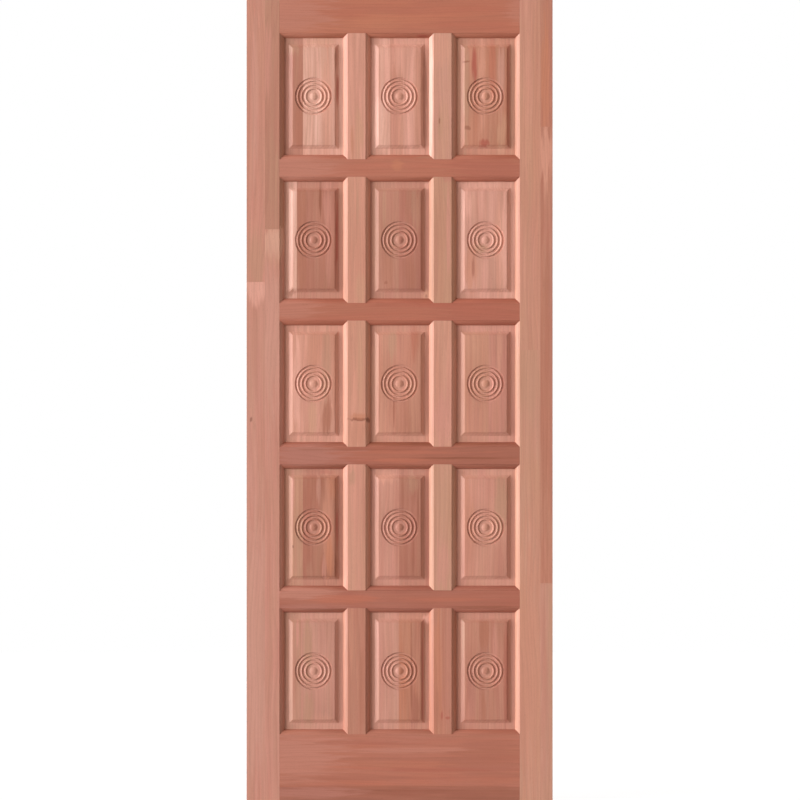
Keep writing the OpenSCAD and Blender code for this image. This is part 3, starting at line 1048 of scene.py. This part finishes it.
TIMBERS = {
    "top_rail": Timber("red_brown", "brown", "orange_brown", 0.25, 0.4, (
        ("rose", -300, 2060, 120, 60, 0.7), ("rose", 315, 2070, 40, 45, 0.5),
        ("deep_red", 60, 2003, 16, 4, 0.7), ("orange_brown", -60, 2040, 60, 25, 0.3),
        ("brick", 200, 2045, 110, 30, 0.25))),
    "cross_rail_1": Timber("red_brown", "brown", "rose", 0.3, 0.4, (
        ("rose", -270, 1660, 110, 40, 0.7), ("brick", 240, 1655, 120, 40, 0.6),
        ("orange_brown", -5, 1665, 16, 16, 0.6), ("olive_tan", 90, 1687, 40, 5, 0.4))),
    "cross_rail_2": Timber("red_brown", "brick", "brown", 0.4, 0.4, (
        ("rose", -290, 1290, 90, 30, 0.6), ("brick", 230, 1280, 150, 40, 0.6),
        ("deep_red", 60, 1300, 160, 8, 0.25))),
    "cross_rail_3": Timber("brick", "umber", "red_brown", 0.6, 0.4, (
        ("rose_brown", -240, 908, 120, 34, 0.9), ("umber", 230, 908, 150, 40, 0.7),
        ("dark_brown", 170, 899, 150, 2.5, 0.9), ("dark_brown", 60, 936, 240, 5, 0.6),
        ("dark_brown", -120, 921, 150, 3, 0.4), ("red_brown", 0, 893, 90, 6, 0.7),
        ("red_brown", 20, 914, 200, 5, 0.5), ("dark_brown", -40, 877, 240, 3, 0.4))),
    "cross_rail_4": Timber("brick", "umber", "rose_brown", 0.5, 0.5, (
        ("rose", -260, 545, 100, 20, 0.9), ("red_brown", -140, 530, 100, 12, 0.8),
        ("rose_brown", -230, 510, 90, 10, 0.7), ("dark_brown", 230, 510, 100, 3, 0.6),
        ("dark_brown", -140, 502, 130, 2.5, 0.45), ("umber", 60, 552, 120, 3, 0.5),
        ("red_brown", 120, 530, 120, 6, 0.5))),
    "bottom_rail_board": Timber("red_brown", "brown", "rose_brown", 0.4, 0.6, (
        ("rose", -270, 120, 130, 70, 0.8), ("umber", 235, 110, 130, 70, 0.45),
        ("umber", 60, 112, 240, 6, 0.35), ("umber", -80, 62, 220, 7, 0.35), ("brick", 90, 84, 200, 6, 0.6),
        ("rose", 20, 135, 170, 8, 0.6), ("dark_brown", 0, 41, 380, 1.5, 0.5),
        ("brick", -100, 152, 150, 4, 0.4))),
    "bottom_rail_foot": Timber("umber", "dark_brown", "rose_brown", 0.35, 0.4, (
        ("rose_brown", -230, 24, 130, 16, 0.8), ("dark_brown", 60, 30, 200, 3, 0.4),
        ("dark_brown", 230, 20, 150, 24, 0.3))),
    "left_stile_outer_upper": Timber("pink", "rose", "salmon", 0.35, 0.4, (
        ("olive_tan", -372, 1420, 30, 80, 0.5), ("ash_pink", -378, 1850, 12, 200, 0.5))),
    "left_stile_outer_lower": Timber("pink", "rose", "ash_pink", 0.3, 0.6, (
        ("pale_pink", -376, 1345, 40, 40, 0.6), ("ash_pink", -376, 400, 40, 400, 0.6),
        ("knot_brown", -388, 1000, 3, 7, 0.6))),
    "left_stile_inner_upper": Timber("olive_tan", "rose_brown", "rose", 0.4, 0.5, (
        ("rose", -318, 1850, 14, 200, 0.5), ("pink", -345, 1950, 12, 120, 0.6))),
    "left_stile_inner_lower": Timber("pink", "rose", "ash_pink", 0.35, 0.6, (
        ("cream_pink", -330, 1465, 40, 40, 0.45), ("tan", -330, 1465, 40, 60, 0.5),
        ("ash_pink", -335, 1200, 30, 220, 0.6))),
    "right_stile_inner_upper": Timber("tan", "rose", "pink", 0.35, 0.6, (
        ("clay", 358, 1700, 10, 420, 0.5), ("salmon", 335, 1850, 14, 200, 0.3))),
    "right_stile_inner_lower": Timber("tan", "rose", "ash_pink", 0.35, 0.5, (
        ("olive_tan", 340, 1100, 40, 110, 0.5), ("clay", 335, 350, 40, 350, 0.6))),
    "right_stile_outer_upper": Timber("rose", "brown", "orange_brown", 0.4, 0.5, (
        ("rose_brown", 398, 1950, 7, 200, 0.7), ("orange_brown", 380, 1900, 12, 170, 0.5))),
    "right_stile_outer_middle": Timber("rose", "brown", "clay", 0.5, 0.6, (
        ("salmon", 382, 1690, 26, 80, 0.7), ("rose_brown", 398, 1200, 7, 500, 0.6),
        ("brown", 380, 1050, 18, 450, 0.5))),
    "right_stile_outer_lower": Timber("ash_pink", "rose", "olive_tan", 0.4, 0.6, (
        ("olive_tan", 396, 400, 8, 250, 0.7), ("rose", 376, 300, 8, 250, 0.5))),
    "mullion_row1_1": Timber("salmon", "pink", "pale_pink", 0.35, 0.4, (
        ("tan", -105, 1745, 12, 70, 0.7), ("orange_brown", -124, 1725, 4, 45, 0.5))),
    "mullion_row1_2": Timber("ash_pink", "pink", "tan", 0.3, 0.6, (
        # The cream_pink mark at x 80 runs the whole height of the lit moulding: a painted highlight.
        ("cream_pink", 80, 1850, 8, 260, 0.8), ("salmon", 105, 1975, 30, 50, 0.5),
        ("olive_tan", 106, 1772, 8, 40, 0.8), ("dark_brown", 104, 1783, 2.5, 9, 0.6),
        ("tan", 118, 1760, 14, 90, 0.5))),
    "mullion_row2_1": Timber("salmon", "rose", "clay", 0.2, 0.3, (
        ("olive_tan", -110, 1560, 3, 60, 0.6), ("tan", -102, 1335, 16, 45, 0.7))),
    "mullion_row2_2": Timber("tan", "olive_tan", "clay", 0.5, 0.4, (
        ("rose", 124, 1632, 14, 12, 0.7), ("rose", 95, 1400, 6, 90, 0.4),
        ("pink", 128, 1500, 6, 110, 0.7))),
    "mullion_row3_1": Timber("salmon", "rose", "tan", 0.2, 0.4, (
        ("tan", -104, 1130, 8, 110, 0.7), ("clay", -110, 965, 26, 40, 0.7),
        ("dark_brown", -108, 1000, 26, 5, 0.8), ("orange_brown", -108, 1008, 24, 9, 0.6),
        ("knot_brown", -82, 998, 6, 7, 0.7))),
    "mullion_row3_2": Timber("salmon", "pink", "tan", 0.35, 0.5, (
        ("pink", 112, 1000, 26, 70, 0.7), ("clay", 98, 1100, 4, 130, 0.4))),
    "mullion_row4_1": Timber("salmon", "pink", "tan", 0.35, 0.5, (
        ("olive_tan", -124, 850, 9, 22, 0.6), ("rose", -93, 760, 3, 110, 0.7))),
    "mullion_row4_2": Timber("tan", "olive_tan", "ash_pink", 0.4, 0.5, (
        ("olive_tan", 112, 800, 20, 60, 0.3), ("pink", 112, 620, 20, 70, 0.6))),
    "mullion_row5_1": Timber("rose", "brown", "clay", 0.5, 0.4, (
        ("clay", -126, 420, 6, 90, 0.7), ("brown", -100, 300, 8, 110, 0.6))),
    "mullion_row5_2": Timber("rose", "brown", "orange_brown", 0.5, 0.5, (
        ("orange_brown", 100, 360, 12, 150, 0.5), ("rose", 128, 360, 8, 150, 0.8),
        ("deep_red", 110, 228, 3, 14, 0.6), ("deep_red", 126, 220, 8, 4, 0.6),
        ("brown", 98, 250, 8, 60, 0.6))),
    "panel_row1_1_left_board": Timber("rose_brown", "brown", "rose", 0.5, 0.4, (
        ("olive_tan", -285, 1975, 22, 26, 0.7), ("pink", -296, 1845, 9, 110, 0.6),
        ("brown", -262, 1770, 14, 70, 0.7))),
    "panel_row1_1_right_board": Timber("cream_pink", "salmon", "pale_pink", 0.5, 0.5, (
        ("salmon", -192, 1800, 14, 200, 0.6), ("deep_red", -162, 1862, 4, 48, 0.8),
        ("dark_brown", -166, 1950, 6, 40, 0.5), ("tan", -205, 1990, 40, 12, 0.6))),
    "panel_row1_2_left_board": Timber("pale_pink", "pink", "cream_pink", 0.2, 0.7, (
        ("tan", -45, 1760, 14, 60, 0.2), ("rose", -70, 1990, 14, 12, 0.5))),
    "panel_row1_2_middle_board": Timber("salmon", "rose", "pink", 0.5, 0.5, (
        ("clay", -12, 1930, 6, 60, 0.5), ("pale_pink", 0, 1960, 24, 60, 0.4))),
    "panel_row1_2_right_board": Timber("pale_pink", "pink", "salmon", 0.35, 0.4, (
        ("clay", 48, 1850, 10, 180, 0.6), ("dark_brown", 66, 1850, 7, 150, 0.8),
        ("brown", 80, 1845, 9, 200, 0.6))),
    "panel_row1_3": Timber("clay", "brown", "orange_brown", 0.5, 0.5, (
        ("olive_tan", 174, 1850, 10, 170, 0.8), ("tan", 154, 1850, 8, 180, 0.7),
        ("deep_red", 196, 1930, 7, 48, 0.8), ("salmon", 216, 1900, 10, 130, 0.6),
        ("red_brown", 242, 1930, 10, 90, 0.6), ("dark_brown", 174, 1936, 11, 3, 0.6),
        ("dark_brown", 178, 1762, 9, 6, 0.55), ("deep_red", 222, 1722, 14, 12, 0.7),
        ("ash_pink", 266, 1900, 10, 90, 0.7), ("tan", 266, 1750, 12, 60, 0.8),
        ("olive_tan", 294, 1850, 8, 180, 0.7), ("brick", 285, 1860, 6, 150, 0.6))),
    "panel_row2_1_left_board": Timber("cream_pink", "pale_pink", "pale_pink", 0.5, 0.4, (
        ("brown", -286, 1332, 14, 10, 0.6), ("rose", -298, 1560, 5, 60, 0.4))),
    "panel_row2_1_right_board": Timber("rose", "brown", "rose_brown", 0.5, 0.5, (
        ("brown", -254, 1470, 14, 170, 0.8), ("dark_brown", -207, 1575, 4, 55, 0.7),
        ("pink", -188, 1560, 12, 70, 0.6), ("pink", -186, 1400, 8, 60, 0.4),
        ("deep_red", -164, 1470, 4, 100, 0.9), ("olive_tan", -152, 1560, 8, 80, 0.5))),
    "panel_row2_2_left_board": Timber("rose", "rose_brown", "olive_tan", 0.4, 0.5, (
        ("tan", -66, 1480, 8, 150, 0.6), ("brown", -30, 1390, 16, 60, 0.5),
        ("olive_tan", -40, 1560, 5, 60, 0.5), ("umber", -36, 1358, 5, 5, 0.7))),
    "panel_row2_2_right_board": Timber("rose_brown", "brown", "rose", 0.5, 0.5, (
        ("pink", 75, 1470, 8, 180, 0.7), ("pale_pink", 74, 1612, 12, 9, 0.7),
        ("tan", 72, 1326, 14, 13, 0.9), ("dark_brown", 70, 1322, 3, 5, 0.7),
        ("olive_tan", 42, 1560, 14, 60, 0.4), ("brown", 30, 1380, 14, 60, 0.5))),
    "panel_row2_3": Timber("ash_pink", "pink", "pale_pink", 0.35, 0.5, (
        ("clay", 186, 1400, 18, 60, 0.8), ("olive_tan", 212, 1448, 18, 13, 0.8),
        ("umber", 192, 1393, 4, 26, 0.6), ("rose", 204, 1560, 3, 60, 0.4),
        ("pale_pink", 176, 1560, 12, 60, 0.5), ("salmon", 262, 1440, 14, 150, 0.7),
        ("pale_pink", 200, 1612, 70, 10, 0.5), ("pale_pink", 285, 1450, 24, 160, 0.8))),
    "panel_row3_1": Timber("salmon", "rose", "pale_pink", 0.35, 0.5, (
        ("clay", -222, 1190, 20, 60, 0.7), ("olive_tan", -190, 1150, 12, 120, 0.5),
        ("brown", -190, 1005, 14, 50, 0.8), ("tan", -228, 1000, 12, 50, 0.7),
        ("pale_pink", -268, 1100, 12, 130, 0.6), ("clay", -172, 1120, 5, 130, 0.6))),
    "panel_row3_2": Timber("clay", "rose", "salmon", 0.5, 0.5, (
        ("olive_tan", -18, 1200, 12, 45, 0.8), ("red_brown", 40, 1215, 12, 50, 0.5),
        ("umber", -15, 1010, 3, 50, 0.8), ("tan", -66, 1090, 10, 150, 0.5), ("brown", 0, 1000, 30, 55, 0.5),
        ("brown", 24, 1000, 4, 60, 0.4), ("umber", 72, 1090, 8, 150, 0.5))),
    "panel_row3_3_left_board": Timber("clay", "rose", "tan", 0.4, 0.5, (
        ("pink", 190, 1238, 50, 10, 0.8), ("rose", 200, 1000, 20, 60, 0.4),
        ("rose", 155, 1090, 8, 150, 0.5))),
    "panel_row3_3_right_board": Timber("pink", "rose", "rose_brown", 0.4, 0.5, (
        ("salmon", 262, 1190, 8, 60, 0.5), ("clay", 250, 1010, 14, 60, 0.5))),
    "panel_row4_1_left_board": Timber("tan", "brown", "olive_tan", 0.4, 0.6, (
        ("pink", -280, 800, 5, 80, 0.7), ("rose", -270, 620, 4, 50, 0.5), ("brown", -292, 577, 10, 8, 0.7),
        ("knot_brown", -279, 668, 2, 5, 0.6), ("olive_tan", -264, 640, 8, 90, 0.6))),
    "panel_row4_1_right_board": Timber("brown", "umber", "rose", 0.5, 0.4, (
        ("ash_pink", -212, 820, 6, 50, 0.5), ("clay", -188, 720, 14, 160, 0.9),
        ("orange_brown", -184, 640, 12, 60, 0.7), ("deep_red", -164, 725, 4, 50, 0.8),
        ("pink", -197, 610, 6, 40, 0.6), ("dark_brown", -166, 610, 5, 40, 0.6),
        ("deep_red", -192, 862, 22, 6, 0.4), ("olive_tan", -235, 600, 10, 30, 0.3),
        ("orange_brown", -175, 830, 14, 40, 0.4))),
    "panel_row4_2_left_board": Timber("pink", "rose", "ash_pink", 0.4, 0.5, (
        ("salmon", -40, 850, 30, 18, 0.7), ("rose", -7, 700, 6, 160, 0.7),
        ("clay", -60, 700, 5, 150, 0.6))),
    "panel_row4_2_right_board": Timber("rose_brown", "brown", "brick", 0.5, 0.4, (
        ("umber", 8, 790, 4, 90, 0.5), ("olive_tan", 34, 835, 14, 30, 0.6),
        ("dark_brown", 48, 760, 3, 60, 0.5), ("dark_brown", 36, 640, 3, 60, 0.4),
        ("brick", 76, 700, 9, 160, 0.7))),
    "panel_row4_3": Timber("pink", "rose", "tan", 0.35, 0.5, (
        ("clay", 178, 720, 20, 170, 0.8), ("olive_tan", 266, 790, 18, 80, 0.8),
        ("rose", 262, 620, 18, 60, 0.6), ("brown", 200, 678, 8, 4, 0.6), ("rose", 178, 640, 20, 60, 0.5))),
    "panel_row5_1_left_board": Timber("olive_tan", "rose", "ash_pink", 0.4, 0.5, (
        ("pink", -267, 440, 4, 40, 0.8), ("rose", -275, 300, 5, 80, 0.4))),
    "panel_row5_1_right_board": Timber("ash_pink", "rose", "pink", 0.35, 0.5, (
        ("olive_tan", -240, 410, 14, 90, 0.8), ("olive_tan", -238, 240, 14, 50, 0.7),
        ("salmon", -200, 215, 30, 16, 0.3))),
    "panel_row5_2_left_board": Timber("ash_pink", "rose", "pink", 0.35, 0.5, (
        ("clay", -70, 340, 6, 150, 0.5),)),
    "panel_row5_2_middle_board": Timber("orange_brown", "brown", "clay", 0.5, 0.5),
    "panel_row5_2_right_board": Timber("rose", "brown", "orange_brown", 0.5, 0.5, (
        ("dark_brown", 31, 340, 3, 150, 0.6), ("deep_red", 60, 330, 2.5, 150, 0.6),
        ("pale_pink", 72, 478, 14, 12, 0.7), ("pink", 76, 300, 8, 130, 0.5),
        ("umber", 42, 235, 12, 50, 0.5))),
    "panel_row5_3_left_board": Timber("rose", "brown", "clay", 0.5, 0.3, (
        ("clay", 156, 400, 8, 150, 0.7), ("olive_tan", 166, 440, 5, 60, 0.6),
        ("rose_brown", 190, 290, 12, 90, 0.6))),
    "panel_row5_3_middle_board": Timber("rose_brown", "brown", "rose", 0.4, 0.4, (
        ("brown", 221, 440, 16, 42, 1.0), ("brown", 220, 250, 6, 50, 0.8))),
    "panel_row5_3_right_board": Timber("rose", "brown", "pink", 0.5, 0.3, (
        ("pink", 250, 400, 8, 60, 0.5), ("brick", 278, 330, 7, 140, 0.6), ("pink", 298, 340, 7, 140, 0.6))),
    "tenon_wedges": Timber("brown", "knot_brown", "dark_brown", 0.5, 0.5),
}


# A piece's pattern starts its seed times these steps away, in metres
SEED_STEPS = (0.37, 0.53, 0.71)
SEEDS = 97

# How far grain wanders, over what length, and how deep marks go, in metres
GRAIN_SWAY = 0.022
GRAIN_REACH = 0.55
MARK_DEPTH = 10

# How ragged marks are along and across the grain, how strongly painted light lifts a panel's recesses, and
# how the grain stands out
RAGGED_ALONG = 2.4
RAGGED_ASIDE = 1.0
RECESS_LIGHT_SHARE = 0.25
GRAIN_BUMP = 0.35
GRAIN_DEPTH = 0.0004
SHEEN_LEVEL = 0.4


def give_timber(obj, node, roundel=None):
    """Gives a piece a timber material of its own, with the grain along it, and, on a panel, painted light
    that makes its recesses paler the deeper they lie round and beside a roundel.
    """
    wood = TIMBERS[node]
    lies_across = "rail" in node or node == "tenon_wedges"
    along, turn, spread = (0, 0, 1), (0, 0, 0), (RAGGED_ASIDE, 0.0, RAGGED_ALONG)
    if lies_across:
        along, turn, spread = (1, 0, 0), (0, math.radians(90), 0), (RAGGED_ALONG, 0.0, RAGGED_ASIDE)
    material = bpy.data.materials.new(node + "_timber")
    material.use_nodes = True
    tree = material.node_tree
    surface = tree.nodes["Principled BSDF"]
    place = shader(tree, "TexCoord").outputs
    seed = sum(ord(letter) * (i + 1) for i, letter in enumerate(node)) % SEEDS
    straight = shader(tree, "Mapping", {
        "Vector": place["Object"], "Location": [step * seed for step in SEED_STEPS], "Rotation": turn,
    }).outputs[0]
    grain = place_effect(tree, wander_effect(), {
        "Vector": straight, "Sway": GRAIN_SWAY, "Reach": GRAIN_REACH})["Vector"]
    colour = place_effect(tree, tones_effect(), {
        "Vector": grain, "Light": timber_tone(wood.light), "Deep": timber_tone(wood.deep),
        "Warm": timber_tone(wood.warm), "Olive": timber_tone("brown" if lies_across else "olive_tan"),
        "Red": timber_tone("brick"), "Streak": wood.streak, "Drift": wood.drift})["Color"]
    shake = place_effect(tree, ragged_effect(), {"Vector": straight, "Spread": spread})["Shake"]
    for mark_tone, x, z, across, up, share in wood.marks:
        mask = place_effect(tree, mark_effect(), {
            "Position": place["Object"], "Centre": (x * MM, 0, z * MM),
            "Reach": (across * MM, MARK_DEPTH, up * MM), "Shake": shake})["Mask"]
        colour = lay_tone(tree, mask, share, colour, timber_tone(mark_tone))
    if roundel:
        sizes = panels()
        # Painted light: the panel's grooves, bevels and border are laid paler the deeper they lie, to lift
        # their shade
        cut = place_effect(tree, recess_light_effect(), {
            "Position": place["Object"], "Centre": roundel, "Radius": sizes.recess_r,
            "Field": sizes.field_t / 2, "Recess": sizes.recess_d,
            "Border": (sizes.field_t - sizes.tongue_t) / 2})["Mask"]
        colour = lay_tone(tree, cut, RECESS_LIGHT_SHARE, colour, timber_tone("pale_pink"))
    facing = sums(tree, "ABSOLUTE", vectors(tree, "DOT_PRODUCT", place["Normal"], along, output="Value"))
    side_grain, end_grain = 0.7, 0.95
    timber = place_effect(tree, sanded_effect(), {
        "Vector": grain, "Color": colour, "Pore": timber_tone("knot_brown"),
        "End Grain": ease(tree, facing, side_grain, end_grain)})
    bump = shader(tree, "Bump", {
        "Height": timber["Height"], "Strength": GRAIN_BUMP, "Distance": GRAIN_DEPTH}).outputs[0]
    tree.links.new(timber["Color"], surface.inputs["Base Color"])
    tree.links.new(timber["Roughness"], surface.inputs["Roughness"])
    tree.links.new(bump, surface.inputs["Normal"])
    surface.inputs["Specular IOR Level"].default_value = SHEEN_LEVEL
    obj.data.materials.clear()
    obj.data.materials.append(material)


# Stage

FLOOR_SIZE = 14
FLOOR_GLOW = 1.25
FLOOR_GLOW_SHARE = 0.75
LAMP_DISTANCE = 4
SENSOR_WIDTH = 36
GREY = (0.5, 0.5, 0.5, 1)
WHITE = (1, 1, 1, 1)


def empty_tree(owner):
    """A material's or world's shader nodes, all removed."""
    owner.use_nodes = True
    owner.node_tree.nodes.clear()
    return owner.node_tree


def add_floor():
    """Pale floor that keeps the leaf's shadow and looks white to the camera."""
    deselect()
    bpy.ops.mesh.primitive_plane_add(size=FLOOR_SIZE, location=(0, 0, 0))
    floor = bpy.context.object
    floor.name = "floor"
    material = bpy.data.materials.new("pale_floor")
    tree = empty_tree(material)
    rays = shader(tree, "LightPath").outputs
    seen = sums(tree, "MAXIMUM", rays["Is Camera Ray"],
                sums(tree, "MAXIMUM", rays["Is Glossy Ray"], rays["Is Transmission Ray"]))
    matt = shader(tree, "BsdfDiffuse", {"Color": GREY}).outputs[0]
    glow = shader(tree, "Emission", {"Color": WHITE, "Strength": FLOOR_GLOW}).outputs[0]
    share = times(tree, seen, FLOOR_GLOW_SHARE)
    mixed = shader(tree, "MixShader", {0: share, 1: matt, 2: glow}).outputs[0]
    shader(tree, "OutputMaterial", {"Surface": mixed})
    floor.data.materials.append(material)
    floor.visible_shadow = False


def add_lamp(name, turn, power, spread, colour):
    """Soft far light that stands turned left from the camera and risen above the leaf."""
    bpy.ops.object.light_add(type="SUN")
    lamp = bpy.context.object
    lamp.name = name
    lamp.data.energy = power
    lamp.data.angle = spread
    lamp.data.color = colour
    rise = studio().lamp_rise
    back = Vector((-math.sin(turn) * math.cos(rise), -math.cos(turn) * math.cos(rise), math.sin(rise)))
    lamp.location = LAMP_DISTANCE * back
    lamp.rotation_euler = (-back).to_track_quat("-Z", "Y").to_euler()


def add_room():
    """White to the camera, and a soft even light to everything else."""
    lights = studio()
    world = bpy.data.worlds.new("white_room")
    bpy.context.scene.world = world
    tree = empty_tree(world)
    rays = shader(tree, "LightPath").outputs
    seen = sums(tree, "MAXIMUM", rays["Is Camera Ray"], rays["Is Transmission Ray"])
    power = shader(tree, "MapRange", {"Value": seen, "To Min": lights.room_light, "To Max": 1.0}).outputs[0]
    colour = blend_tones(tree, seen, (*lights.fill_tint, 1), WHITE)
    background = shader(tree, "Background", {"Color": colour, "Strength": power}).outputs[0]
    shader(tree, "OutputWorld", {"Surface": background})


def add_camera():
    """Camera far in front of the leaf, square to it."""
    sizes = studio()
    bpy.ops.object.camera_add(
        location=(sizes.view_shift, -sizes.camera_distance, sizes.view_middle),
        rotation=(math.radians(90), 0, 0))
    camera = bpy.context.object
    camera.name = "camera"
    camera.data.sensor_width = SENSOR_WIDTH
    camera.data.lens = SENSOR_WIDTH * (sizes.camera_distance + FRONT) / sizes.view_height
    bpy.context.scene.camera = camera


# Operators

class DOOR_OT_add_panels(bpy.types.Operator):
    """Adds the raised panels, turned on both faces and parted into their boards."""

    bl_idname = "door.add_panels"
    bl_label = "Add Panels"

    def execute(self, context):
        whole = raised_panel()
        for row in range(1, ROWS + 1):
            for column in range(1, COLUMNS + 1):
                part_panel(whole, row, column)
        bpy.data.objects.remove(whole)
        return {"FINISHED"}


class DOOR_OT_add_mullions(bpy.types.Operator):
    """Adds the mullions between the panels."""

    bl_idname = "door.add_mullions"
    bl_label = "Add Mullions"

    def execute(self, context):
        first = mullion()
        start = mullion_member(1, 1).low
        for row in range(1, ROWS + 1):
            for column in range(1, COLUMNS):
                offset = mullion_member(row, column).low - start
                hand_over(duplicate(first, "mullion", offset), f"mullion_row{row}_{column}")
        bpy.data.objects.remove(first)
        return {"FINISHED"}


class DOOR_OT_add_rails(bpy.types.Operator):
    """Adds the top rail, the cross rails, and the bottom rail with its foot strip."""

    bl_idname = "door.add_rails"
    bl_label = "Add Rails"

    def execute(self, context):
        hand_over(rail(0), "top_rail")
        first = rail(1)
        for row in range(1, ROWS):
            offset = rail_box(row)[0] - rail_box(1)[0]
            hand_over(duplicate(first, "rail", offset), f"cross_rail_{row}")
        bpy.data.objects.remove(first)
        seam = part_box("bottom_rail_foot")[1]
        board = rail(ROWS)
        foot = duplicate(board, "foot")
        saw(board, seam, (0, 0, -1))
        saw(foot, seam, (0, 0, 1))
        for obj, node in ((board, "bottom_rail_board"), (foot, "bottom_rail_foot")):
            smooth(obj)
            hand_over(obj, node)
        return {"FINISHED"}


class DOOR_OT_add_stiles(bpy.types.Operator):
    """Adds both stiles, parted into their finger-jointed staves."""

    bl_idname = "door.add_stiles"
    bl_label = "Add Stiles"

    def execute(self, context):
        for side in ("left", "right"):
            part_staves(stile(side), side)
        return {"FINISHED"}


class DOOR_OT_finish_wedges(bpy.types.Operator):
    """Gives the tenon wedges their timber."""

    bl_idname = "door.finish_wedges"
    bl_label = "Finish Wedges"

    def execute(self, context):
        give_timber(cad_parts["tenon_wedges"], "tenon_wedges")
        return {"FINISHED"}


class DOOR_OT_add_stage(bpy.types.Operator):
    """Adds the floor, the lamps, the white room and the camera."""

    bl_idname = "door.add_stage"
    bl_label = "Add Stage"

    def execute(self, context):
        lights = studio()
        window = (lights.key_spread, lights.key_tint)
        add_floor()
        add_lamp("key_light", lights.key_turn, lights.key_power, *window)
        add_lamp("back_light", math.pi + lights.back_turn, lights.back_power, *window)
        add_lamp("fill_light", -lights.fill_turn, lights.fill_power, lights.fill_spread, lights.fill_tint)
        add_room()
        add_camera()
        context.scene.view_settings.view_transform = "Standard"
        return {"FINISHED"}


class DOOR_PT_sidebar(bpy.types.Panel):
    """Lists the door's tools and sizes."""

    bl_label = "Panelled Door"
    bl_space_type = "VIEW_3D"
    bl_region_type = "UI"
    bl_category = "Door"

    def draw(self, context):
        for operator in OPERATORS:
            self.layout.operator(operator.bl_idname)
        for group_name, group in GROUPS.items():
            box = self.layout.box()
            for size in group.__annotations__:
                box.prop(getattr(context.scene, group_name), size)


OPERATORS = (
    DOOR_OT_add_stiles, DOOR_OT_add_rails, DOOR_OT_add_mullions, DOOR_OT_add_panels,
    DOOR_OT_finish_wedges, DOOR_OT_add_stage,
)
CLASSES = (*GROUPS.values(), *OPERATORS, DOOR_PT_sidebar)


def register():
    for cls in CLASSES:
        bpy.utils.register_class(cls)
    for name, group in GROUPS.items():
        setattr(bpy.types.Scene, name, bpy.props.PointerProperty(type=group))


def unregister():
    for name in GROUPS:
        delattr(bpy.types.Scene, name)
    for cls in reversed(CLASSES):
        bpy.utils.unregister_class(cls)


def main():
    register()
    bpy.ops.door.add_stiles()
    bpy.ops.door.add_rails()
    bpy.ops.door.add_mullions()
    bpy.ops.door.add_panels()
    bpy.ops.door.finish_wedges()
    bpy.ops.door.add_stage()


if __name__ == "__main__":
    main()
